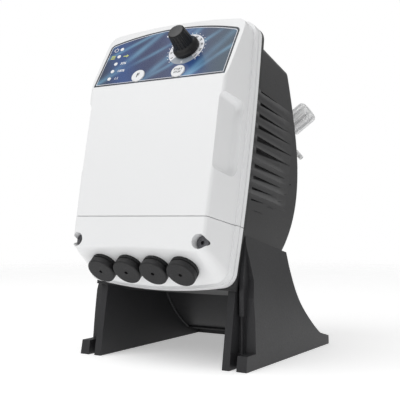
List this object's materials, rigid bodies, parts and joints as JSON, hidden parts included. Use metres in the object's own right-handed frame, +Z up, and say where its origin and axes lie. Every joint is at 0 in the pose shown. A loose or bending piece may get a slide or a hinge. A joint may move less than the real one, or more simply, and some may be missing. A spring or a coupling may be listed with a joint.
{
  "type": "diaphragm metering pump",
  "caption": "Solenoid diaphragm metering pump: leaning control housing on a pedestal stand, dial and keys on the sloped panel, pump head with valves and bleed knob behind.",
  "frame": {"origin": "on the floor, at the middle of the stand's four fixing points", "axes": "+X to the right of the control panel, +Y to the pump head behind, +Z up"},
  "size_m": [0.12, 0.1654, 0.2084],
  "materials": {
    "white_shell": "smooth moulded, semi-gloss",
    "black_shell": "fine spark-eroded, matte",
    "stand_black": "glass-filled, matte",
    "panel_foil": "printed polyester foil, satin",
    "lens_white": "clear to milky",
    "key_white": "embossed key",
    "knob_black": "moulded, satin",
    "plug_rubber": "EPDM",
    "seal_rubber": "FKM",
    "screw_steel": "stainless",
    "soft_iron": "zinc plated",
    "plunger_steel": "ground",
    "winding": "taped copper winding",
    "bearing_plastic": "PTFE-filled",
    "board_green": "solder-masked laminate",
    "part_black": "electronic part",
    "terminal_green": "terminal plastic",
    "diaphragm_white": "PTFE-faced",
    "head_white": "natural PVDF",
    "bleed_clear": "translucent",
    "ball_ceramic": "ceramic",
    "seat_ptfe": "PTFE"
  },
  "bodies": {
    "pump_body": {"front_cover": "white_shell", "terminal_cover": "white_shell", "cover_gasket": "seal_rubber", "control_label": "panel_foil", "indicator_lenses": "lens_white", "potentiometer": "part_black", "button_switches": "part_black", "control_board": "board_green", "driver_board": "board_green", "terminal_block": "terminal_green", "cable_plug_1": "plug_rubber", "cable_plug_2": "plug_rubber", "cable_plug_3": "plug_rubber", "cable_plug_4": "plug_rubber", "terminal_cover_screws": "screw_steel", "cover_screws": "screw_steel", "rear_casing": "black_shell", "stand": "stand_black", "solenoid_yoke": "soft_iron", "solenoid_coil": "winding", "guide_tube": "plunger_steel", "pole_piece": "soft_iron", "guide_bush": "bearing_plastic", "stroke_stop": "seal_rubber", "return_spring": "screw_steel", "backing_plate": "head_white", "pump_head": "head_white", "head_screws": "screw_steel", "bleed_nipple": "bleed_clear", "discharge_port_seal": "seal_rubber", "discharge_valve_body": "head_white", "discharge_valve_seat": "seat_ptfe", "discharge_hose_tail": "head_white", "discharge_union_nut": "head_white", "suction_port_seal": "seal_rubber", "suction_valve_body": "head_white", "suction_valve_seat": "seat_ptfe", "suction_hose_tail": "head_white", "suction_union_nut": "head_white"},
    "dial_knob": {"adjust_knob": "knob_black", "potentiometer_shaft": "plunger_steel"},
    "start_key": {"start_button": "key_white"},
    "function_key": {"function_button": "key_white"},
    "plunger_set": {"plunger": "plunger_steel", "diaphragm": "diaphragm_white"},
    "suction_valve_ball": {"suction_ball": "ball_ceramic"},
    "discharge_valve_ball": {"discharge_ball": "ball_ceramic"},
    "bleed_valve": {"bleed_knob": "bleed_clear", "bleed_spindle": "bleed_clear"}
  },
  "joints": [
    {"name": "dial_turn", "type": "hinge", "parent": "pump_body", "child": "dial_knob", "pos_m": [0.0142, -0.04994, 0.18896], "axis": [0, -0.8425, 0.5388], "range_deg": [-12, 258]},
    {"name": "start_press", "type": "slide", "parent": "pump_body", "child": "start_key", "axis": [0, 0.8425, -0.5388], "range_m": [0, 0.0005], "stiffness_N_per_m": 1000, "springref_m": -0.0001},
    {"name": "function_press", "type": "slide", "parent": "pump_body", "child": "function_key", "axis": [0, 0.8425, -0.5388], "range_m": [0, 0.0005], "stiffness_N_per_m": 1000, "springref_m": -0.0001},
    {"name": "plunger_stroke", "type": "slide", "parent": "pump_body", "child": "plunger_set", "axis": [0, 0.9781, -0.2079], "range_m": [0, 0.00125], "stiffness_N_per_m": 4000, "springref_m": -0.002, "deforming": ["return_spring", "diaphragm"]},
    {"name": "suction_ball_lift", "type": "slide", "parent": "pump_body", "child": "suction_valve_ball", "axis": [0, 0.2079, 0.9781], "range_m": [0, 0.0012]},
    {"name": "discharge_ball_lift", "type": "slide", "parent": "pump_body", "child": "discharge_valve_ball", "axis": [0, 0.2079, 0.9781], "range_m": [0, 0.0012]},
    {"name": "bleed_turn", "type": "hinge", "parent": "pump_body", "child": "bleed_valve", "pos_m": [0, 0.06108, 0.13048], "axis": [0.7826, 0.1294, 0.6089], "range_deg": [0, 270]}
  ]
}
